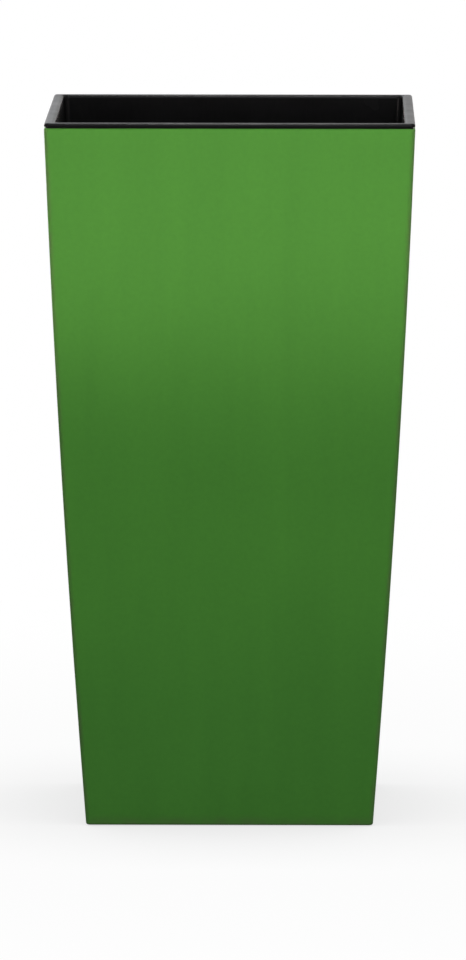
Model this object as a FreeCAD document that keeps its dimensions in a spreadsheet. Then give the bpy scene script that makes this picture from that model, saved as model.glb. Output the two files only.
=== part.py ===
import FreeCAD, Part
import os
import Sketcher

# A tall square planter: a tapered outer pot, a lift-out liner that hangs by its lip on the pot's
# top edge, two swing-up handles inside the liner, a drain plug and four floor pads.
# Millimetres, +Z up, origin on the floor under the middle of the pot, front face towards -Y.

DIMENSIONS = (
    # Outer pot
    ("pot_width_top", 325.0),
    ("pot_width_base", 254.0),
    ("pot_height", 621.1),
    ("side_bow", 2.9),
    ("pot_wall", 3.0),
    ("pot_floor", 3.5),
    ("pot_corner_radius", 4.0),
    ("pot_inside_corner", 4.0),
    ("base_edge_round", 2.0),
    ("pot_top_round", 1.4),
    ("pot_inside_round", 3.0),
    ("foot_ring_width", 9.0),
    ("foot_recess", 5.0),
    ("base_rib_width", 3.0),
    ("base_rib_lift", 1.0),
    ("drain_radius", 9.0),
    ("drain_boss_wall", 5.0),
    # Floor pads
    ("pad_radius", 11.0),
    ("pad_thickness", 2.6),
    ("pad_proud", 0.8),
    ("pad_edge", 0.6),
    ("pad_edge_inset", 10.8),
    ("pad_boss_wall", 3.0),
    ("pad_seat_clearance", 0.2),
    # Liner
    ("lip_bead", 1.5),
    ("lip_bead_inset", 1.6),
    ("lip_plate", 3.2),
    ("lip_outer_round", 2.4),
    ("lip_inner_round", 3.0),
    ("lip_under_round", 0.4),
    ("liner_depth", 320.0),
    ("liner_wall", 2.5),
    ("liner_floor", 3.0),
    ("liner_top_gap", 3.5),
    ("liner_base_gap", 4.0),
    ("liner_corner_radius", 5.0),
    ("liner_edge_round", 6.0),
    ("gusset_width", 3.0),
    ("gusset_height", 30.0),
    ("gusset_offset", 95.0),
    ("gusset_clearance", 0.5),
    ("liner_hole_radius", 4.0),
    ("liner_hole_margin", 50.0),
    ("liner_foot_radius", 9.0),
    ("liner_foot_height", 5.0),
    ("liner_foot_inset", 28.0),
    # Handles and the ears that carry them
    ("handle_pivot_depth", 30.0),
    ("handle_span", 110.0),
    ("handle_length", 70.0),
    ("handle_bend_inside", 10.0),
    ("handle_rest_gap", 0.3),
    ("strap_width", 12.0),
    ("strap_thickness", 5.0),
    ("strap_round", 2.0),
    ("stub_radius", 3.0),
    ("knuckle_wall", 2.0),
    ("stub_recess", 0.5),
    ("pivot_clearance", 0.08),
    ("ear_wall", 4.0),
    ("ear_thickness", 7.0),
    ("ear_round", 1.0),
    ("ear_side_gap", 0.4),
    # Drain plug
    ("plug_clearance", 0.08),
    ("plug_recess", 0.5),
    ("plug_edge", 1.0),
    ("plug_flange_overlap", 6.0),
    ("plug_flange_height", 3.0),
    ("plug_ring_hole", 8.0),
    ("plug_ring_wall", 4.0),
    ("plug_ring_sink", 2.0),
    # Least radius of an inside corner
    ("least_round", 1.0),
)

# Heights and widths that several pieces share, as expressions of the driving sizes
POT_BASE = "dims.pad_proud"
POT_TOP = "(dims.pad_proud + dims.pot_height)"
FLOOR_UNDERSIDE = "(dims.pad_proud + dims.foot_recess)"
FLOOR_TOP = f"({FLOOR_UNDERSIDE} + dims.pot_floor)"
RIB_HEIGHT = "(dims.foot_recess - dims.base_rib_lift)"
LIP_UNDERSIDE = f"({POT_TOP} + dims.lip_bead)"
LIP_TOP = f"({LIP_UNDERSIDE} + dims.lip_plate)"
LINER_BASE = f"({LIP_TOP} - dims.liner_depth)"
PIVOT_HEIGHT = f"({LIP_TOP} - dims.handle_pivot_depth)"

PAD_SEAT_RADIUS = "(dims.pad_radius + dims.pad_seat_clearance)"
PAD_CENTRE = f"(dims.pot_width_base / 2 - dims.pad_edge_inset - {PAD_SEAT_RADIUS})"
LIP_WIDTH = "(dims.pot_wall + dims.liner_top_gap + dims.liner_wall)"
MOUTH_WIDTH = f"(dims.pot_width_top - 2 * {LIP_WIDTH})"
LINER_TOP_WIDTH = f"({MOUTH_WIDTH} + 2 * dims.liner_wall)"
LINER_OUTER_RADIUS = "(dims.liner_corner_radius + dims.liner_wall)"
KNUCKLE_RADIUS = "(dims.stub_radius + dims.knuckle_wall)"
EAR_RADIUS = "(dims.stub_radius + dims.ear_wall)"
EAR_START = "(dims.handle_span / 2 + dims.ear_side_gap)"
LEG_CENTRE = "((dims.handle_span - dims.strap_width) / 2)"
BAR_DROP = "(dims.handle_length - dims.strap_width / 2)"


def pot_width_at(height):
    """Outer width of the bowed pot at a height above the floor."""
    rise = f"(({height} - dims.pad_proud) / dims.pot_height)"
    taper = f"(dims.pot_width_top - dims.pot_width_base) * {rise}"
    bow = f"8 * dims.side_bow * {rise} * (1 - {rise})"
    return f"(dims.pot_width_base + {taper} + {bow})"


def pot_inside_at(height):
    """Width between the pot's walls at a height above the floor."""
    return f"({pot_width_at(height)} - 2 * dims.pot_wall)"


LINER_BASE_WIDTH = f"({pot_inside_at(LINER_BASE)} - 2 * dims.liner_base_gap)"
LINER_SLOPE = f"(({LINER_TOP_WIDTH} - {LINER_BASE_WIDTH}) / 2 / dims.liner_depth)"


def liner_width_at(height):
    """Outer width of the straight tapered liner at a height above the floor."""
    return f"({LINER_TOP_WIDTH} - 2 * {LINER_SLOPE} * ({LIP_TOP} - {height}))"


def liner_inside_at(height):
    """Width between the liner's walls at a height above the floor."""
    return f"({liner_width_at(height)} - 2 * dims.liner_wall)"


def into_liner_wall(height):
    """Distance from the middle to halfway through the liner's wall at a height."""
    return f"({liner_width_at(height)} / 2 - dims.liner_wall / 2)"


# A handle hangs straight down, with its bar and its knuckles just clear of the sloping liner wall
BAR_FROM_WALL = f"({LINER_SLOPE} * dims.handle_length + dims.strap_thickness / 2)"
PIVOT_FROM_WALL = f"(max({BAR_FROM_WALL}; {KNUCKLE_RADIUS}) + dims.handle_rest_gap)"
PIVOT_OUT = f"({liner_inside_at(PIVOT_HEIGHT)} / 2 - {PIVOT_FROM_WALL})"

# Two lengths closer than this are the same
TINY = 1e-4

# Greatest round of a base edge as a share of the corners it runs into, and of a strap's edges as a
# share of its thickness
BASE_ROUND_SHARE = 0.9
STRAP_ROUND_SHARE = 0.45

doc = FreeCAD.newDocument("square_planter")
sheet = doc.addObject("Spreadsheet::Sheet", "dims")
for row, (alias, size) in enumerate(DIMENSIONS, start=1):
    sheet.set(f"A{row}", alias)
    sheet.set(f"B{row}", str(size))
    sheet.setAlias(f"B{row}", alias)
doc.recompute()


def value(expression):
    """Number that an expression of the driving sizes gives."""
    return float(sheet.evalExpression(expression))


def new_body(label):
    return doc.addObject("PartDesign::Body", label)


def origin_part(body, role):
    return next(item for item in body.Origin.OriginFeatures if item.Role == role)


def new_sketch(body, name, role, offset="0"):
    """Sketch on one of the body's origin planes, moved along the plane's normal."""
    sketch = body.newObject("Sketcher::SketchObject", name)
    sketch.AttachmentSupport = [(origin_part(body, role), "")]
    sketch.MapMode = "FlatFace"
    sketch.setExpression("AttachmentOffset.Base.z", offset)
    return sketch


def drive(sketch, kind, *elements, size):
    """Dimension of a sketch, bound to an expression of the driving sizes."""
    index = sketch.addConstraint(Sketcher.Constraint(kind, *elements, value(size)))
    sketch.setExpression(f"Constraints[{index}]", size)


def place(sketch, curve, point, across, up):
    """Hold a point of a sketch at two coordinates; a coordinate of 0 lies on the axis."""
    for kind, axis, size in (("DistanceX", -2, across), ("DistanceY", -1, up)):
        if size == "0":
            sketch.addConstraint(Sketcher.Constraint("PointOnObject", curve, point, axis))
        else:
            drive(sketch, kind, -1, 1, curve, point, size=size)


def add_line(sketch, start, end):
    points = [FreeCAD.Vector(value(across), value(up), 0) for across, up in (start, end)]
    return sketch.addGeometry(Part.LineSegment(*points), False)


def add_circle(sketch, across, up, radius):
    centre = FreeCAD.Vector(value(across), value(up), 0)
    circle = sketch.addGeometry(Part.Circle(centre, FreeCAD.Vector(0, 0, 1), value(radius)), False)
    place(sketch, circle, 3, across, up)
    drive(sketch, "Radius", circle, size=radius)


def add_arc(sketch, across, up, radius, start_angle, end_angle):
    """Arc about a centre, between two angles in quarter turns."""
    quarter = FreeCAD.Units.parseQuantity("90 deg").getValueAs("rad").Value
    centre = FreeCAD.Vector(value(across), value(up), 0)
    circle = Part.Circle(centre, FreeCAD.Vector(0, 0, 1), value(radius))
    arc = Part.ArcOfCircle(circle, start_angle * quarter, end_angle * quarter)
    return sketch.addGeometry(arc, False)


def join(sketch, kind, first, second):
    """Join the end of one curve to the start of the next, as a corner or smoothly."""
    sketch.addConstraint(Sketcher.Constraint(kind, first, 2, second, 1))


def add_polygon(sketch, points):
    """Closed outline of straight lines through points given as expressions."""
    following = points[1:] + points[:1]
    lines = [add_line(sketch, start, end) for start, end in zip(points, following)]
    for line, after in zip(lines, lines[1:] + lines[:1]):
        join(sketch, "Coincident", line, after)
    for line, (across, up) in zip(lines, points):
        place(sketch, line, 1, across, up)


def add_rounded_box(sketch, wide, deep, radius, across="0", up="0"):
    """Closed outline of a box with round corners about a centre."""
    flat_x = f"({wide} / 2 - {radius})"
    flat_y = f"({deep} / 2 - {radius})"
    arcs = []
    lines = []
    for turn, (side, end) in enumerate(((1, 1), (-1, 1), (-1, -1), (1, -1))):
        centre = (f"({across} + {side} * {flat_x})", f"({up} + {end} * {flat_y})")
        arcs.append(add_arc(sketch, *centre, radius, turn, turn + 1))
    for turn in range(4):
        start = sketch.getPoint(arcs[turn], 2)
        end = sketch.getPoint(arcs[(turn + 1) % 4], 1)
        lines.append(sketch.addGeometry(Part.LineSegment(start, end), False))
    for turn in range(4):
        join(sketch, "Tangent", arcs[turn], lines[turn])
        join(sketch, "Tangent", lines[turn], arcs[(turn + 1) % 4])
        direction = "Horizontal" if turn % 2 == 0 else "Vertical"
        sketch.addConstraint(Sketcher.Constraint(direction, lines[turn]))
    for arc in arcs[1:]:
        sketch.addConstraint(Sketcher.Constraint("Equal", arcs[0], arc))
    drive(sketch, "Radius", arcs[0], size=radius)
    place(sketch, arcs[0], 3, f"({across} + {flat_x})", f"({up} + {flat_y})")
    place(sketch, arcs[2], 3, f"({across} - {flat_x})", f"({up} - {flat_y})")


def square_section(body, name, height, width, radius):
    """Level sketch of a square with round corners about the upright axis."""
    sketch = new_sketch(body, name, "XY_Plane", height)
    add_rounded_box(sketch, width, width, radius)
    return sketch


def extrude(body, kind, name, sketch, length, upwards=True, symmetric=False):
    """Pad or pocket of a sketch, towards or against the sketch's normal."""
    feature = body.newObject(f"PartDesign::{kind}", name)
    feature.Profile = sketch
    feature.setExpression("Length", length)
    if symmetric:
        feature.SideType = "Symmetric"
    feature.Reversed = upwards if kind == "Pocket" else not upwards
    return feature


def four_circles(body, name, height, centre, radius):
    """Level sketch of four equal circles, one towards each corner."""
    sketch = new_sketch(body, name, "XY_Plane", height)
    for side in (-1, 1):
        for end in (-1, 1):
            add_circle(sketch, f"({side} * {centre})", f"({end} * {centre})", radius)
    return sketch


def revolve(body, name, points):
    """Solid of revolution about the upright axis from an outline of (radius, height) points."""
    sketch = new_sketch(body, f"{name}_outline", "XZ_Plane")
    add_polygon(sketch, points)
    feature = body.newObject("PartDesign::Revolution", name)
    feature.Profile = sketch
    feature.ReferenceAxis = (sketch, ["V_Axis"])
    return feature


def polar_copies(body, name, originals, count):
    """Copies of features, evenly round the upright axis."""
    pattern = body.newObject("PartDesign::PolarPattern", name)
    pattern.Originals = originals
    pattern.Axis = (origin_part(body, "Z_Axis"), [""])
    pattern.Angle = 360
    pattern.Occurrences = count
    body.Tip = pattern
    return pattern


def round_edges(body, name, radius, wanted):
    """Fillet on the edges of a body that a test picks."""
    doc.recompute()
    base = body.Tip
    chosen = [f"Edge{number}" for number, edge in enumerate(base.Shape.Edges, start=1) if wanted(edge)]
    feature = body.newObject("PartDesign::Fillet", name)
    feature.Base = (base, chosen)
    feature.setExpression("Radius", radius)
    return feature


def round_level_edges(body, name, radius, height, nearest="0", farthest="dims.pot_width_top"):
    """Fillet on the edges at one height that lie between two distances from the middle."""
    level = value(height)

    def wanted(edge):
        middle = edge.valueAt((edge.FirstParameter + edge.LastParameter) / 2)
        reach = max(abs(middle.x), abs(middle.y))
        tall = edge.BoundBox.ZLength > TINY or abs(middle.z - level) > TINY
        return not tall and value(nearest) < reach < value(farthest)

    return round_edges(body, name, radius, wanted)


def add_tapered_outline(sketch, low, high, width_at, bow):
    """Closed outline of an upright tapered face, with straight sides or sides that bow outwards."""
    half_low = f"({width_at(low)} / 2)"
    half_high = f"({width_at(high)} / 2)"
    corners = [(f"(-{half_low})", low), (half_low, low), (half_high, high), (f"(-{half_high})", high)]
    if bow is None:
        add_polygon(sketch, corners)
        return
    left_low, right_low, right_high, left_high = (
        FreeCAD.Vector(value(across), value(up), 0) for across, up in corners
    )
    middle = f"(({low} + {high}) / 2)"
    bulge = FreeCAD.Vector(value(f"{width_at(middle)} / 2"), value(middle), 0)
    base = sketch.addGeometry(Part.LineSegment(left_low, right_low), False)
    right = sketch.addGeometry(Part.Arc(right_low, bulge, right_high), False)
    top = sketch.addGeometry(Part.LineSegment(right_high, left_high), False)
    bulge.x = -bulge.x
    left = sketch.addGeometry(Part.Arc(left_high, bulge, left_low), False)
    for first, second in ((base, right), (right, top), (top, left), (left, base)):
        join(sketch, "Coincident", first, second)
    for line, point, corner in ((base, 1, 0), (base, 2, 1), (top, 1, 2), (top, 2, 3)):
        place(sketch, line, point, *corners[corner])
    chord_squared = f"(({half_high} - {half_low})^2 + ({high} - {low})^2)"
    for side in (right, left):
        drive(sketch, "Radius", side, size=f"({chord_squared} / (8 * {bow}) + {bow} / 2)")


def make_tapered_block(label, low, high, width_at, corner_radius, base_round, bow=None):
    """Solid four-sided block from two crossing outlines, with round upright corners and base edge."""
    block = new_body(label)
    front = new_sketch(block, f"{label}_front", "XZ_Plane")
    add_tapered_outline(front, low, high, width_at, bow)
    extrude(block, "Pad", f"{label}_width", front, "dims.pot_width_top", symmetric=True)
    side = new_sketch(block, f"{label}_side", "YZ_Plane")
    add_tapered_outline(side, low, high, width_at, bow)
    around_wide = "(2 * dims.pot_width_top)"
    around_tall = "(2 * dims.pot_height)"
    middle = f"(({low} + {high}) / 2)"
    add_rounded_box(side, around_wide, around_tall, "dims.pot_corner_radius", up=middle)
    extrude(block, "Pocket", f"{label}_depth", side, around_wide, symmetric=True)
    upright = value(f"({high} - {low}) / 2")
    round_edges(block, f"{label}_corners", corner_radius, lambda edge: edge.BoundBox.ZLength > upright)
    base_radius = f"min({base_round}; {BASE_ROUND_SHARE} * {corner_radius})"
    round_level_edges(block, f"{label}_base_edge", base_radius, low)
    return block


def cut_core(body, core):
    """Hollow a body with a core of its own."""
    hollow = body.newObject("PartDesign::Boolean", f"{body.Label}_hollow")
    hollow.Type = "Cut"
    hollow.setObjects([core])


def make_outer_pot():
    """Tapered pot with bowed sides, a recessed floor on a foot ring, pad seats and a drain hole."""
    pot = make_tapered_block(
        "outer_pot", POT_BASE, POT_TOP, pot_width_at,
        "dims.pot_corner_radius", "dims.base_edge_round", bow="dims.side_bow",
    )
    # The core is a shorter stretch of the same curve, so it bows less
    core_bow = f"(dims.side_bow * (({POT_TOP} - {FLOOR_TOP}) / dims.pot_height)^2)"
    core = make_tapered_block(
        "pot_core", FLOOR_TOP, POT_TOP, pot_inside_at,
        "dims.pot_inside_corner", "dims.pot_inside_round", bow=core_bow,
    )
    cut_core(pot, core)

    # Foot ring, with a boss in each corner for a pad and ribs from boss to boss
    recess_width = "(dims.pot_width_base - 2 * dims.foot_ring_width)"
    recess = square_section(pot, "recess_outline", POT_BASE, recess_width, "dims.pot_inside_corner")
    extrude(pot, "Pocket", "foot_hollow", recess, "dims.foot_recess")
    boss_radius = f"({PAD_SEAT_RADIUS} + dims.pad_boss_wall)"
    bosses = four_circles(pot, "boss_outlines", POT_BASE, PAD_CENTRE, boss_radius)
    extrude(pot, "Pad", "pad_bosses", bosses, "dims.foot_recess")
    rib_base = "(dims.pad_proud + dims.base_rib_lift)"
    for name, turn in (("rib_rising", 45), ("rib_falling", -45)):
        rib = new_sketch(pot, f"{name}_outline", "XY_Plane")
        rib.AttachmentOffset = FreeCAD.Placement(
            FreeCAD.Vector(0, 0, 0), FreeCAD.Rotation(FreeCAD.Vector(0, 0, 1), turn)
        )
        rib.setExpression("AttachmentOffset.Base.z", rib_base)
        half_length = f"(sqrt(2) * {PAD_CENTRE})"
        half_width = "(dims.base_rib_width / 2)"
        corners = [(-1, -1), (1, -1), (1, 1), (-1, 1)]
        add_polygon(rib, [(f"({x} * {half_length})", f"({y} * {half_width})") for x, y in corners])
        extrude(pot, "Pad", name, rib, RIB_HEIGHT)
    drain_boss = new_sketch(pot, "drain_boss_outline", "XY_Plane", rib_base)
    add_circle(drain_boss, "0", "0", "(dims.drain_radius + dims.drain_boss_wall)")
    extrude(pot, "Pad", "drain_boss", drain_boss, RIB_HEIGHT)

    seats = four_circles(pot, "seat_outlines", POT_BASE, PAD_CENTRE, PAD_SEAT_RADIUS)
    extrude(pot, "Pocket", "pad_seats", seats, "(dims.pad_thickness - dims.pad_proud)")
    drain = new_sketch(pot, "drain_outline", "XY_Plane", POT_BASE)
    add_circle(drain, "0", "0", "dims.drain_radius")
    extrude(pot, "Pocket", "drain_hole", drain, "(dims.foot_recess + dims.pot_floor)")

    wall_middle = "(dims.pot_width_top / 2 - dims.pot_wall / 2)"
    round_level_edges(pot, "top_edge", "dims.pot_top_round", POT_TOP, nearest=wall_middle)
    return pot


def add_lip(liner):
    """Flange flush with the pot's outside, on a set-back bead that stands on the pot's top edge."""
    plate = square_section(
        liner, "plate_outline", LIP_UNDERSIDE, "dims.pot_width_top", "dims.pot_corner_radius"
    )
    extrude(liner, "Pad", "lip_plate", plate, "dims.lip_plate")
    bead_width = "(dims.pot_width_top - 2 * dims.lip_bead_inset)"
    bead_radius = "max(dims.pot_corner_radius - dims.lip_bead_inset; dims.least_round)"
    bead = square_section(liner, "bead_outline", POT_TOP, bead_width, bead_radius)
    inside_width = pot_inside_at(POT_TOP)
    add_rounded_box(bead, inside_width, inside_width, "dims.pot_inside_corner")
    extrude(liner, "Pad", "lip_bead", bead, "dims.lip_bead")


def add_gussets(liner):
    """Two gussets per side under the lip, which centre the liner in the pot."""
    reach = f"({pot_inside_at(POT_TOP)} / 2 - dims.gusset_clearance)"
    foot = f"({POT_TOP} - dims.gusset_height)"
    head = f"({LIP_UNDERSIDE} + dims.lip_plate / 2)"
    outline = [(into_liner_wall(foot), foot), (reach, POT_TOP), (reach, head), (into_liner_wall(head), head)]
    gussets = []
    for name, side in (("gusset_near", 1), ("gusset_far", -1)):
        sketch = new_sketch(liner, f"{name}_outline", "XZ_Plane", f"({side} * dims.gusset_offset)")
        add_polygon(sketch, outline)
        gussets.append(extrude(liner, "Pad", name, sketch, "dims.gusset_width", symmetric=True))
    polar_copies(liner, "gussets", gussets, 4)


def add_ears(liner):
    """Two ears on each side wall of the liner, with a bore for a handle's stubs."""
    back_top = f"({PIVOT_HEIGHT} + {EAR_RADIUS})"
    back_foot = f"({PIVOT_HEIGHT} - {EAR_RADIUS})"
    top_corner = (into_liner_wall(back_top), back_top)
    foot_corner = (into_liner_wall(back_foot), back_foot)
    ears = []
    for name, side in (("ear_near", 1), ("ear_far", -1)):
        middle = f"({side} * ({EAR_START} + dims.ear_thickness / 2))"
        sketch = new_sketch(liner, f"{name}_outline", "XZ_Plane", middle)
        nose = add_arc(sketch, PIVOT_OUT, PIVOT_HEIGHT, EAR_RADIUS, 1, 3)
        foot = add_line(sketch, (PIVOT_OUT, back_foot), foot_corner)
        back = add_line(sketch, foot_corner, top_corner)
        top = add_line(sketch, top_corner, (PIVOT_OUT, back_top))
        join(sketch, "Tangent", nose, foot)
        join(sketch, "Coincident", foot, back)
        join(sketch, "Coincident", back, top)
        join(sketch, "Tangent", top, nose)
        sketch.addConstraint(Sketcher.Constraint("Horizontal", foot))
        place(sketch, nose, 3, PIVOT_OUT, PIVOT_HEIGHT)
        drive(sketch, "Radius", nose, size=EAR_RADIUS)
        drive(sketch, "DistanceX", -1, 1, back, 1, size=foot_corner[0])
        place(sketch, back, 2, *top_corner)
        ears.append(extrude(liner, "Pad", name, sketch, "dims.ear_thickness", symmetric=True))
    polar_copies(liner, "ears", ears, 2)
    side_faces = (value(EAR_START), value(f"{EAR_START} + dims.ear_thickness"))
    lowest = value(back_foot) - TINY
    clear_of_wall = value(f"{liner_inside_at(back_foot)} / 2") - TINY

    def is_ear_edge(edge):
        middle = edge.valueAt((edge.FirstParameter + edge.LastParameter) / 2)
        on_side = min(abs(abs(middle.y) - face) for face in side_faces) < TINY
        level = edge.BoundBox.YLength < TINY
        return on_side and level and abs(middle.x) < clear_of_wall and middle.z > lowest

    round_edges(liner, "ear_edges", "dims.ear_round", is_ear_edge)

    bores = new_sketch(liner, "bore_outlines", "XZ_Plane")
    for side in (-1, 1):
        across = f"({side} * {PIVOT_OUT})"
        add_circle(bores, across, PIVOT_HEIGHT, "(dims.stub_radius + dims.pivot_clearance)")
    bore_length = f"(2 * ({EAR_START} + dims.ear_thickness))"
    extrude(liner, "Pocket", "pivot_bores", bores, bore_length, symmetric=True)


def add_liner_floor_details(liner):
    """Drain holes in a four by four grid and a short foot near each corner."""
    holes = new_sketch(liner, "hole_outlines", "XY_Plane", LINER_BASE)
    reach = f"({LINER_BASE_WIDTH} / 2 - dims.liner_hole_margin)"
    steps = ("-1", "-1 / 3", "1 / 3", "1")
    for across in steps:
        for up in steps:
            add_circle(holes, f"({across} * {reach})", f"({up} * {reach})", "dims.liner_hole_radius")
    extrude(liner, "Pocket", "drain_holes", holes, "dims.liner_floor")
    foot_centre = f"({LINER_BASE_WIDTH} / 2 - dims.liner_foot_inset)"
    feet = four_circles(liner, "foot_outlines", LINER_BASE, foot_centre, "dims.liner_foot_radius")
    extrude(liner, "Pad", "liner_feet", feet, "dims.liner_foot_height", upwards=False)


def make_liner():
    """Straight tapered tub that hangs by its lip, with drain holes, feet, gussets and ears."""
    liner = make_tapered_block(
        "liner", LINER_BASE, LIP_TOP, liner_width_at, LINER_OUTER_RADIUS, "dims.liner_edge_round"
    )
    add_lip(liner)
    add_gussets(liner)
    floor_height = f"({LINER_BASE} + dims.liner_floor)"
    inner_round = "max(dims.liner_edge_round - dims.liner_wall; dims.least_round)"
    core = make_tapered_block(
        "liner_core", floor_height, LIP_TOP, liner_inside_at, "dims.liner_corner_radius", inner_round
    )
    cut_core(liner, core)
    add_ears(liner)
    add_liner_floor_details(liner)

    lip_middle = f"(dims.pot_width_top / 2 - {LIP_WIDTH} / 2)"
    overhang_middle = "(dims.pot_width_top / 2 - dims.lip_bead_inset / 2)"
    round_level_edges(liner, "lip_inner_edge", "dims.lip_inner_round", LIP_TOP, farthest=lip_middle)
    round_level_edges(liner, "lip_outer_edge", "dims.lip_outer_round", LIP_TOP, nearest=lip_middle)
    round_level_edges(
        liner, "lip_under_edge", "dims.lip_under_round", LIP_UNDERSIDE, nearest=overhang_middle
    )
    return liner


def make_handle(label, side):
    """Flat bail with a knuckle and a pivot stub at the head of each leg."""
    handle = new_body(label)
    path = new_sketch(handle, "bail_path", "YZ_Plane")
    bend = "(dims.handle_bend_inside + dims.strap_width / 2)"
    bend_height = f"({bend} - {BAR_DROP})"
    bend_across = f"({LEG_CENTRE} - {bend})"
    near_leg = add_line(path, (f"(-{LEG_CENTRE})", "0"), (f"(-{LEG_CENTRE})", bend_height))
    near_bend = add_arc(path, f"(-{bend_across})", bend_height, bend, 2, 3)
    bar = add_line(path, (f"(-{bend_across})", f"(-{BAR_DROP})"), (bend_across, f"(-{BAR_DROP})"))
    far_bend = add_arc(path, bend_across, bend_height, bend, 3, 4)
    far_leg = add_line(path, (LEG_CENTRE, bend_height), (LEG_CENTRE, "0"))
    for first, second in ((near_leg, near_bend), (near_bend, bar), (bar, far_bend), (far_bend, far_leg)):
        join(path, "Tangent", first, second)
    path.addConstraint(Sketcher.Constraint("Vertical", near_leg))
    path.addConstraint(Sketcher.Constraint("Equal", near_bend, far_bend))
    place(path, near_leg, 1, f"(-{LEG_CENTRE})", "0")
    place(path, far_leg, 2, LEG_CENTRE, "0")
    place(path, near_bend, 3, f"(-{bend_across})", bend_height)

    strap = new_sketch(handle, "strap_section", "XY_Plane")
    strap_round = f"min(dims.strap_round; {STRAP_ROUND_SHARE} * dims.strap_thickness)"
    add_rounded_box(
        strap, "dims.strap_thickness", "dims.strap_width", strap_round, up=f"(-{LEG_CENTRE})"
    )
    bail = handle.newObject("PartDesign::AdditivePipe", "bail")
    bail.Profile = strap
    bail.Spine = path

    stub_reach = "(dims.ear_side_gap + dims.ear_thickness - dims.stub_recess)"
    for name, end in (("near", 1), ("far", -1)):
        knuckle = new_sketch(handle, f"knuckle_{name}_outline", "XZ_Plane", f"({end} * {LEG_CENTRE})")
        add_circle(knuckle, "0", "0", KNUCKLE_RADIUS)
        extrude(handle, "Pad", f"knuckle_{name}", knuckle, "dims.strap_width", symmetric=True)
        stub = new_sketch(handle, f"stub_{name}_outline", "XZ_Plane", f"({end} * {LEG_CENTRE})")
        add_circle(stub, "0", "0", "dims.stub_radius")
        stub_length = f"(dims.strap_width / 2 + {stub_reach})"
        extrude(handle, "Pad", f"stub_{name}", stub, stub_length, upwards=end > 0)
    handle.setExpression("Placement.Base.x", f"({side} * {PIVOT_OUT})")
    handle.setExpression("Placement.Base.z", PIVOT_HEIGHT)
    return handle


def make_drain_plug():
    """Stopper with a flange that lies on the pot's floor and a finger ring to pull it out."""
    plug = new_body("drain_plug")
    stem_radius = "(dims.drain_radius - dims.plug_clearance)"
    stem_foot = f"(dims.plug_recess - dims.pot_floor - {RIB_HEIGHT})"
    flange_radius = "(dims.drain_radius + dims.plug_flange_overlap)"
    outline = [
        ("0", stem_foot),
        (f"({stem_radius} - dims.plug_edge)", stem_foot),
        (stem_radius, f"({stem_foot} + dims.plug_edge)"),
        (stem_radius, "0"),
        (flange_radius, "0"),
        (flange_radius, "(dims.plug_flange_height - dims.plug_edge)"),
        (f"({flange_radius} - dims.plug_edge)", "dims.plug_flange_height"),
        ("0", "dims.plug_flange_height"),
    ]
    revolve(plug, "stopper", outline)
    ring = plug.newObject("PartDesign::AdditiveTorus", "finger_ring")
    ring.setExpression("Radius1", "dims.plug_ring_hole + dims.plug_ring_wall / 2")
    ring.setExpression("Radius2", "dims.plug_ring_wall / 2")
    ring.Placement.Rotation = FreeCAD.Rotation(FreeCAD.Vector(1, 0, 0), 90)
    ring_radius = "(dims.plug_ring_hole + dims.plug_ring_wall)"
    ring.setExpression(
        "Placement.Base.z", f"dims.plug_flange_height - dims.plug_ring_sink + {ring_radius}"
    )
    plug.setExpression("Placement.Base.z", FLOOR_TOP)
    return plug


def make_floor_pad(label, side, end):
    """Round soft pad in its seat under one corner of the pot."""
    pad = new_body(label)
    outline = [
        ("0", "0"),
        ("(dims.pad_radius - dims.pad_edge)", "0"),
        ("dims.pad_radius", "dims.pad_edge"),
        ("dims.pad_radius", "dims.pad_thickness"),
        ("0", "dims.pad_thickness"),
    ]
    revolve(pad, "disc", outline)
    pad.setExpression("Placement.Base.x", f"({side} * {PAD_CENTRE})")
    pad.setExpression("Placement.Base.y", f"({end} * {PAD_CENTRE})")
    return pad


pieces = [
    make_outer_pot(),
    make_liner(),
    make_handle("handle_left", -1),
    make_handle("handle_right", 1),
    make_drain_plug(),
    make_floor_pad("floor_pad_front_left", -1, -1),
    make_floor_pad("floor_pad_front_right", 1, -1),
    make_floor_pad("floor_pad_rear_left", -1, 1),
    make_floor_pad("floor_pad_rear_right", 1, 1),
]
doc.recompute()

for item in doc.Objects:
    if "Invalid" in item.State or "Error" in item.State:
        raise RuntimeError(f"{item.Label} did not compute")
os.makedirs("parts", exist_ok=True)
for piece in pieces:
    shape = piece.Shape
    if shape.isNull() or not shape.isValid() or len(shape.Solids) != 1:
        raise RuntimeError(f"{piece.Label} is not one valid solid")
    shape.exportStep(f"parts/{piece.Label}.step")
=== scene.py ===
"""Looks of the square planter: materials, lights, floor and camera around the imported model."""

import math

import bpy
from mathutils import Matrix, Vector


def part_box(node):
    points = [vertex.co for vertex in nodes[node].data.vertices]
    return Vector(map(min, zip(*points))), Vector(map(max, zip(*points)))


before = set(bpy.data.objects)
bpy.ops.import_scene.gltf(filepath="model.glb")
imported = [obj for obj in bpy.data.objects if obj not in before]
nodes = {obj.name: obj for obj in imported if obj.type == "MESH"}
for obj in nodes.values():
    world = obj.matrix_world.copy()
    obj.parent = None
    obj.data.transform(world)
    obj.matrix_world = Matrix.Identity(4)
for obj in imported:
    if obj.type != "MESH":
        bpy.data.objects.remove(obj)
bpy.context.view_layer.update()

# Camera, fitted to the pot's outline in the photograph
IMAGE_HEIGHT_PX = 960
FOCAL_LENGTH_PX = 9498.0
SENSOR_SIZE_MM = 36.0
CAMERA_TARGET = Vector((0.0017, 0.0, 0.2934))
CAMERA_DISTANCE = 8.5
CAMERA_AZIMUTH = math.radians(0.55)
CAMERA_ELEVATION = math.radians(6.85)
CAMERA_ROLL = math.radians(0.045)

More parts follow.
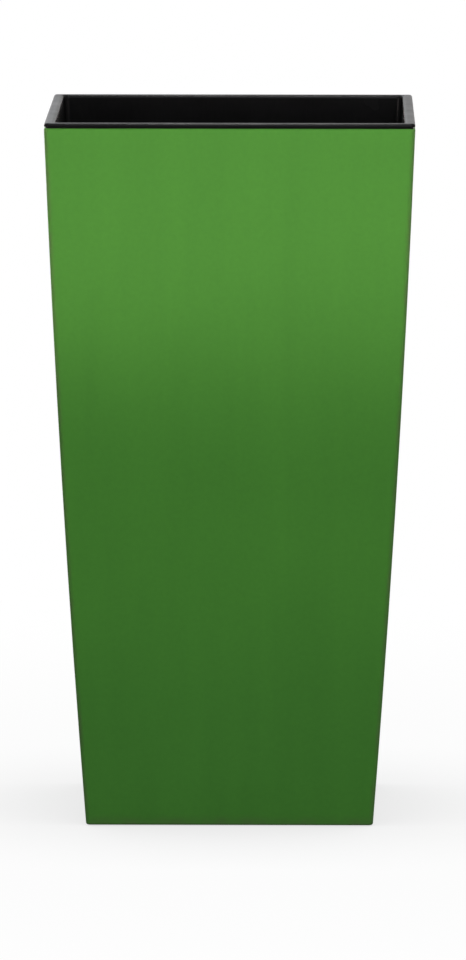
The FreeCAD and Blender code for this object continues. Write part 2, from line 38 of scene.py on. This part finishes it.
# Colours, in linear light
WHITE = (1.0, 1.0, 1.0, 1.0)
GREEN = (0.0798, 0.2745, 0.0368, 1.0)
GREEN_DEEP = (0.0712, 0.2475, 0.0334, 1.0)
# Edge colour along the corners and base edge: partly rubbed wear, partly painted shade and a painted reddish
# sheen
GREEN_EDGE_WEAR_SHADE_AND_SHEEN = (0.1000, 0.180, 0.0530, 1.0)
BLACK = (0.0020, 0.0019, 0.0019, 1.0)
BLACK_WORN = (0.0034, 0.0032, 0.0032, 1.0)
DUSTY_BLACK = (0.0300, 0.0288, 0.0280, 1.0)
HANDLE_BLACK = (0.0080, 0.0078, 0.0080, 1.0)
HANDLE_BLACK_WORN = (0.0130, 0.0126, 0.0128, 1.0)
PLUG_GREY = (0.030, 0.030, 0.032, 1.0)
PLUG_GREY_DULL = (0.042, 0.042, 0.043, 1.0)
PAD_GREY = (0.050, 0.050, 0.050, 1.0)
PAD_GREY_DULL = (0.070, 0.068, 0.066, 1.0)

# What one noise, and the sum of two or three, mostly stays within
ONE_NOISE = (0.3, 0.7)
TWO_NOISES = (0.7, 1.3)
THREE_NOISES = (1.1, 1.9)

# Green plastic: noise scales in features per metre, lengths in metres
GREEN_CLOUD_SCALE = 7.0
GREEN_STREAK_SCALE = 45.0
GREEN_STREAK_STRETCH = (1.0, 1.0, 0.05)
GREEN_MOTTLE_SCALE = 260.0
GREEN_WAVE_SCALE = 9.0
GREEN_WAVE_DETAIL = 1.0
GREEN_WAVE_DEPTH = 0.0004
GREEN_GRAIN_SCALE = 1400.0
GREEN_ROUGHNESS = (0.52, 0.60)
GREEN_SPECULAR = 0.08
# Band of the edge colour, partly wear and partly painted shade and sheen: its breakup noise, its widths, and
# where it stays on the walls
EDGE_MARK_BREAKUP_SCALE = 55.0
EDGE_MARK_BREAKUP_DETAIL = 4.0
EDGE_MARK_BREAKUP_LEAST = 0.2
CORNER_WEAR_AND_SHADE_WIDTH = 0.0055
BASE_WEAR_AND_SHADE_HEIGHT = 0.012
WALL_TO_LEVEL = (0.5, 0.7)

# Black plastic: noise scales in features per metre, lengths in metres
LIP_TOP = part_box("liner")[1].z
LIP_TEXTURE_DEPTH = 0.0018
LIP_ROUGHNESS = 0.31
LINER_WALL_ROUGHNESS = 0.22
LINER_PATCH_ROUGHNESS = 0.06
LINER_SPECULAR = 0.06
LINER_CLOUD_SCALE = 25.0
LINER_SCUFF_SCALE = 320.0
LINER_SCUFF_STRETCH = (1.0, 1.0, 0.3)
LINER_MARK_DETAIL = 3.0
BLACK_GRAIN_SCALE = 1700.0
DUST_START = 0.045
DUST_FULL = 0.15
DUST_LEAST = 0.6

# Grain of all the plastics
GRAIN_DEPTH = 0.00003

# World light and the gridded softboxes, in metres and watts
WORLD_LIGHT = 0.27
WORLD_COLOUR = (0.90, 1.0, 1.02, 1.0)
SOFTBOX_DISTANCE = 1.3
SOFTBOX_WIDTH = 1.0
SOFTBOX_TOP = 1.1
FRONT_TURN = math.radians(32.0)
REAR_TURN = math.radians(150.0)
FRONT_LEFT_SHARE = 1.5
FRONT_RIGHT_SHARE = 0.5
REAR_LEFT_SHARE = 1.1
REAR_RIGHT_SHARE = 0.9
KEY_BOTTOM = 0.422
KEY_BLUR = 0.14
KEY_POWER = 0.562
KEY_COLOUR = (1.18, 1.0, 0.99)
LOW_BOTTOM = 0.17
LOW_BLUR = 0.15
LOW_POWER = 0.173
LOW_COLOUR = (1.0, 1.0, 0.65)

# Fill lights and top light, in metres and watts
FRONT_FILL_PLACE = Vector((0.4, -2.1, 1.75))
FRONT_FILL_POWER = 21.0
REAR_FILL_PLACE = Vector((-0.6, 1.9, 1.8))
REAR_FILL_POWER = 9.0
FILL_AIM = Vector((0.0, 0.0, 0.35))
FILL_SIZE = (0.8, 0.8)
FILL_COLOUR = (0.93, 1.0, 1.1)
TOP_LIGHT_PLACE = Vector((0.0, 0.0, 1.7))
TOP_LIGHT_AIM = Vector((0.0, 0.0, 0.0))
TOP_LIGHT_SIZE = (0.28, 0.28)
TOP_LIGHT_POWER = 1.0
TOP_LIGHT_SPREAD = math.radians(20.0)

# Floor, in metres
FLOOR_SIZE = 60.0
FLOOR_COLOUR = (0.3, 0.3, 0.3, 1.0)
FLOOR_ROUGHNESS = 0.9
FLOOR_GLOW_NEAR = 0.97
FLOOR_FADE = (0.35, 1.4)
SHADOW_REACH = 0.25
SHADOW_DEPTH = 0.3


class NodeTree:
    """The nodes of a material or of the world, with short calls for the kinds that are used here."""

    def __init__(self, owner):
        owner.use_nodes = True
        self.nodes = owner.node_tree.nodes
        self.links = owner.node_tree.links

    def put(self, value, target):
        """Sets an input to a plain value, or links it to the output of another node."""
        if isinstance(value, bpy.types.NodeSocket):
            self.links.new(value, target)
        else:
            target.default_value = value

    def add(self, kind, inputs=None, **settings):
        """A new node with its settings, and with its inputs set or linked by name or number."""
        node = self.nodes.new(kind)
        for name, setting in settings.items():
            setattr(node, name, setting)
        for name, value in (inputs or {}).items():
            self.put(value, node.inputs[name])
        return node

    def math(self, operation, *values):
        return self.add("ShaderNodeMath", dict(enumerate(values)), operation=operation).outputs["Value"]

    def remap(self, value, span, low=0.0, high=1.0, shape="LINEAR"):
        """Runs from low to high while the value crosses the span."""
        inputs = {"Value": value, "From Min": span[0], "From Max": span[1], "To Min": low, "To Max": high}
        return self.add("ShaderNodeMapRange", inputs, interpolation_type=shape).outputs["Result"]

    def fade(self, value, span, low=0.0, high=1.0):
        """A remap that eases in and out."""
        return self.remap(value, span, low, high, "SMOOTHSTEP")

    def mix_shaders(self, factor, first, second):
        return self.add("ShaderNodeMixShader", {"Fac": factor, 1: first, 2: second}).outputs["Shader"]

    def seen_directly(self):
        """1 for rays that show the surroundings as such, 0 for rays that light the object."""
        path = self.add("ShaderNodeLightPath").outputs
        shown = self.math("MAXIMUM", path["Is Camera Ray"], path["Is Glossy Ray"])
        return self.math("MAXIMUM", shown, path["Is Transmission Ray"])


class Surface(NodeTree):
    """A material: its shader, and the patterns and colours that feed it."""

    def __init__(self, name):
        self.material = bpy.data.materials.new(name)
        super().__init__(self.material)
        self.shader = self.nodes["Principled BSDF"]
        self.place = self.add("ShaderNodeTexCoord").outputs["Object"]

    def set(self, name, value):
        self.put(value, self.shader.inputs[name])

    def split(self, vector):
        """The X, Y and Z of a vector."""
        return self.add("ShaderNodeSeparateXYZ", {"Vector": vector}).outputs

    def noise(self, scale, detail=2.0, stretch=(1.0, 1.0, 1.0)):
        """Noise from 0 to 1 with about this many features per metre."""
        place = self.add("ShaderNodeMapping", {"Vector": self.place, "Scale": stretch}).outputs["Vector"]
        inputs = {"Vector": place, "Scale": scale, "Detail": detail}
        return self.add("ShaderNodeTexNoise", inputs).outputs["Fac"]

    def mix_colours(self, factor, first, second):
        inputs = {"Factor": factor, "A": first, "B": second}
        return self.add("ShaderNodeMix", inputs, data_type="RGBA").outputs["Result"]

    def bump(self, height, depth, under=None):
        """Relief of a depth in metres, on top of another one if that is given."""
        inputs = {"Height": height, "Distance": depth, "Strength": 1.0}
        if under is not None:
            inputs["Normal"] = under
        return self.add("ShaderNodeBump", inputs).outputs["Normal"]


def find_pot_wear_and_painted_edge_shade(pot):
    """1 along the pot's upright corners and base edge, broken up by noise, and 0 elsewhere: where the edge
    colour goes, which is partly wear and partly painted shade and sheen.
    """
    place = pot.split(pot.place)
    sideways = [pot.math("ABSOLUTE", place[axis]) for axis in ("X", "Y")]
    off_corner = pot.math("ABSOLUTE", pot.math("SUBTRACT", *sideways))
    facing_up = pot.split(pot.add("ShaderNodeNewGeometry").outputs["Normal"])["Z"]
    on_wall = pot.fade(pot.math("ABSOLUTE", facing_up), WALL_TO_LEVEL, 1.0, 0.0)
    corner = pot.math("MULTIPLY", pot.fade(off_corner, (0.0, CORNER_WEAR_AND_SHADE_WIDTH), 1.0, 0.0), on_wall)
    base = pot.fade(place["Z"], (0.0, BASE_WEAR_AND_SHADE_HEIGHT), 1.0, 0.0)
    breakup = pot.remap(pot.noise(EDGE_MARK_BREAKUP_SCALE, EDGE_MARK_BREAKUP_DETAIL), ONE_NOISE, EDGE_MARK_BREAKUP_LEAST, 1.0)
    return pot.math("MULTIPLY", pot.math("MAXIMUM", corner, base), breakup)


def make_green_plastic():
    """Satin moulded plastic: fine grain, faint clouds, streaks and mottling, and edges in a colour that is
    partly rubbed wear and partly painted shade and a painted reddish sheen.
    """
    pot = Surface("green_plastic_satin")
    cloud = pot.noise(GREEN_CLOUD_SCALE)
    streak = pot.noise(GREEN_STREAK_SCALE, stretch=GREEN_STREAK_STRETCH)
    mottle = pot.noise(GREEN_MOTTLE_SCALE)
    tone = pot.remap(pot.math("ADD", pot.math("ADD", cloud, streak), mottle), THREE_NOISES)
    body_tone = pot.mix_colours(tone, GREEN, GREEN_DEEP)
    # Corners and base edge take a colour that is partly wear and partly painted shade and sheen
    pot.set("Base Color", pot.mix_colours(find_pot_wear_and_painted_edge_shade(pot), body_tone, GREEN_EDGE_WEAR_SHADE_AND_SHEEN))
    grain = pot.noise(GREEN_GRAIN_SCALE)
    pot.set("Roughness", pot.remap(pot.math("ADD", grain, streak), TWO_NOISES, *GREEN_ROUGHNESS))
    pot.set("Specular IOR Level", GREEN_SPECULAR)
    wave = pot.bump(pot.noise(GREEN_WAVE_SCALE, GREEN_WAVE_DETAIL), GREEN_WAVE_DEPTH)
    pot.set("Normal", pot.bump(grain, GRAIN_DEPTH, wave))
    return pot.material


def make_liner_plastic():
    """Black moulded plastic: a rougher top of the lip, and a dusty film from below the lip down."""
    liner = Surface("black_plastic_liner")
    cloud = liner.noise(LINER_CLOUD_SCALE, LINER_MARK_DETAIL)
    scuff = liner.noise(LINER_SCUFF_SCALE, LINER_MARK_DETAIL, LINER_SCUFF_STRETCH)
    marks = liner.math("ADD", cloud, scuff)
    clean = liner.mix_colours(liner.remap(marks, TWO_NOISES), BLACK, BLACK_WORN)
    height = liner.split(liner.place)["Z"]
    below_lip = liner.fade(height, (LIP_TOP - DUST_FULL, LIP_TOP - DUST_START), 1.0, 0.0)
    dust = liner.math("MULTIPLY", below_lip, liner.remap(marks, TWO_NOISES, DUST_LEAST, 1.0))
    liner.set("Base Color", liner.mix_colours(dust, clean, DUSTY_BLACK))
    lip = (LIP_TOP - LIP_TEXTURE_DEPTH, LIP_TOP - LIP_TEXTURE_DEPTH / 2)
    texture = liner.fade(height, lip, LINER_WALL_ROUGHNESS, LIP_ROUGHNESS)
    patches = liner.remap(cloud, ONE_NOISE, 0.0, LINER_PATCH_ROUGHNESS)
    liner.set("Roughness", liner.math("ADD", texture, patches))
    liner.set("Specular IOR Level", LINER_SPECULAR)
    liner.set("Normal", liner.bump(liner.noise(BLACK_GRAIN_SCALE), GRAIN_DEPTH))
    return liner.material


def make_cloudy_material(name, colours, roughness, specular, cloud_scale, grain_scale, grain_depth):
    """Grained material whose colour and roughness vary together in soft clouds."""
    surface = Surface(name)
    cloud = surface.noise(cloud_scale, detail=3.0)
    surface.set("Base Color", surface.mix_colours(surface.remap(cloud, ONE_NOISE), *colours))
    surface.set("Roughness", surface.remap(cloud, ONE_NOISE, *roughness))
    surface.set("Specular IOR Level", specular)
    surface.set("Normal", surface.bump(surface.noise(grain_scale), grain_depth))
    return surface.material


def make_handle_plastic():
    """Black plastic of the handles: tougher, glossier, and rubbed grey by hands."""
    return make_cloudy_material(
        "black_plastic_handle",
        colours=(HANDLE_BLACK, HANDLE_BLACK_WORN),
        roughness=(0.30, 0.42),
        specular=0.4,
        cloud_scale=60.0,
        grain_scale=BLACK_GRAIN_SCALE,
        grain_depth=GRAIN_DEPTH,
    )


def make_rubber(name, colours):
    """Soft grey rubber with dull patches."""
    return make_cloudy_material(
        name,
        colours,
        roughness=(0.62, 0.78),
        specular=0.35,
        cloud_scale=160.0,
        grain_scale=2500.0,
        grain_depth=0.00004,
    )


def dress(names, material):
    for name in names:
        slots = nodes[name].data.materials
        slots.clear()
        slots.append(material)


def make_world():
    """White surroundings for rays that show them, and an even light for rays that light the object."""
    world = bpy.data.worlds.new("studio")
    tree = NodeTree(world)
    light = tree.nodes["Background"]
    tree.put(WORLD_COLOUR, light.inputs["Color"])
    tree.put(WORLD_LIGHT, light.inputs["Strength"])
    white = tree.add("ShaderNodeBackground", {"Color": WHITE, "Strength": 1.0})
    shown = tree.mix_shaders(tree.seen_directly(), light.outputs["Background"], white.outputs["Background"])
    tree.put(shown, tree.nodes["World Output"].inputs["Surface"])
    bpy.context.scene.world = world


def make_floor_material():
    """Pale floor that keeps the object's shadow and fades to the white surroundings.

    Rays that show the floor see a white glow with a soft shade close to the object, over a plain
    surface. Rays that light the object see the plain surface alone, so its colour sets the bounce.
    """
    floor = Surface("pale_floor")
    floor.set("Base Color", FLOOR_COLOUR)
    floor.set("Roughness", FLOOR_ROUGHNESS)
    floor.set("Specular IOR Level", 0.0)
    away = floor.add("ShaderNodeVectorMath", {0: floor.place}, operation="LENGTH").outputs["Value"]
    glow_share = floor.fade(away, FLOOR_FADE, FLOOR_GLOW_NEAR, 1.0)
    openness = floor.add("ShaderNodeAmbientOcclusion", {"Distance": SHADOW_REACH}).outputs["AO"]
    shade = floor.remap(openness, (0.0, 1.0), 1.0 - SHADOW_DEPTH, 1.0)
    glow = floor.add("ShaderNodeEmission", {"Color": WHITE, "Strength": shade}).outputs["Emission"]
    share = floor.math("MULTIPLY", floor.seen_directly(), glow_share)
    shown = floor.mix_shaders(share, floor.shader.outputs["BSDF"], glow)
    floor.put(shown, floor.nodes["Material Output"].inputs["Surface"])
    return floor.material


def make_floor():
    half = FLOOR_SIZE / 2
    corners = [(-half, -half, 0.0), (half, -half, 0.0), (half, half, 0.0), (-half, half, 0.0)]
    mesh = bpy.data.meshes.new("floor")
    mesh.from_pydata(corners, [], [(0, 1, 2, 3)])
    mesh.materials.append(make_floor_material())
    floor = bpy.data.objects.new("floor", mesh)
    bpy.context.scene.collection.objects.link(floor)


def add_soft_light(name, place, aim, size, power, colour=(1.0, 1.0, 1.0), spread=math.pi):
    light = bpy.data.lights.new(name, "AREA")
    light.shape = "RECTANGLE"
    light.size, light.size_y = size
    light.energy = power
    light.color = colour
    light.spread = spread
    lamp = bpy.data.objects.new(name, light)
    lamp.location = place
    lamp.rotation_euler = (aim - place).to_track_quat("-Z", "Y").to_euler()
    bpy.context.scene.collection.objects.link(lamp)


def add_gridded_softbox(name, turn, bottom, blur, power, colour):
    """A softbox with a grid: lights the wall facing it above a height, with a soft lower limit."""
    height = (bottom + SOFTBOX_TOP) / 2
    place = Vector((SOFTBOX_DISTANCE * math.sin(turn), -SOFTBOX_DISTANCE * math.cos(turn), height))
    aim = Vector((0.0, 0.0, height))
    size = (SOFTBOX_WIDTH, SOFTBOX_TOP - bottom)
    spread = 2 * math.atan(blur / SOFTBOX_DISTANCE)
    add_soft_light(name, place, aim, size, power, colour, spread)


def make_lights():
    """A key and a low softbox towards each corner, fills in front and behind, and a light above."""
    sides = {
        "front_left": (-FRONT_TURN, FRONT_LEFT_SHARE),
        "front_right": (FRONT_TURN, FRONT_RIGHT_SHARE),
        "rear_left": (-REAR_TURN, REAR_LEFT_SHARE),
        "rear_right": (REAR_TURN, REAR_RIGHT_SHARE),
    }
    for name, (turn, share) in sides.items():
        add_gridded_softbox(f"{name}_key", turn, KEY_BOTTOM, KEY_BLUR, share * KEY_POWER, KEY_COLOUR)
        add_gridded_softbox(f"{name}_low", turn, LOW_BOTTOM, LOW_BLUR, share * LOW_POWER, LOW_COLOUR)
    add_soft_light("front_fill", FRONT_FILL_PLACE, FILL_AIM, FILL_SIZE, FRONT_FILL_POWER, FILL_COLOUR)
    add_soft_light("rear_fill", REAR_FILL_PLACE, FILL_AIM, FILL_SIZE, REAR_FILL_POWER, FILL_COLOUR)
    add_soft_light(
        "top_light", TOP_LIGHT_PLACE, TOP_LIGHT_AIM, TOP_LIGHT_SIZE, TOP_LIGHT_POWER, spread=TOP_LIGHT_SPREAD
    )


def make_camera():
    back = Vector((
        math.sin(CAMERA_AZIMUTH) * math.cos(CAMERA_ELEVATION),
        -math.cos(CAMERA_AZIMUTH) * math.cos(CAMERA_ELEVATION),
        math.sin(CAMERA_ELEVATION),
    ))
    right = Vector((math.cos(CAMERA_AZIMUTH), math.sin(CAMERA_AZIMUTH), 0.0))
    up = back.cross(right)
    rolled_right = math.cos(CAMERA_ROLL) * right + math.sin(CAMERA_ROLL) * up
    rolled_up = back.cross(rolled_right)
    data = bpy.data.cameras.new("photo_camera")
    data.sensor_width = SENSOR_SIZE_MM
    data.lens = FOCAL_LENGTH_PX * SENSOR_SIZE_MM / IMAGE_HEIGHT_PX
    camera = bpy.data.objects.new("photo_camera", data)
    turn = Matrix((rolled_right, rolled_up, back)).transposed().to_4x4()
    camera.matrix_world = Matrix.Translation(CAMERA_TARGET + CAMERA_DISTANCE * back) @ turn
    bpy.context.scene.collection.objects.link(camera)
    bpy.context.scene.camera = camera


dress(["outer_pot"], make_green_plastic())
dress(["liner"], make_liner_plastic())
dress(["handle_left", "handle_right"], make_handle_plastic())
dress(["drain_plug"], make_rubber("plug_rubber_grey", (PLUG_GREY, PLUG_GREY_DULL)))
floor_pads = [name for name in nodes if name.startswith("floor_pad")]
dress(floor_pads, make_rubber("pad_rubber_grey", (PAD_GREY, PAD_GREY_DULL)))
make_world()
make_floor()
make_lights()
make_camera()
bpy.context.scene.view_settings.view_transform = "Standard"
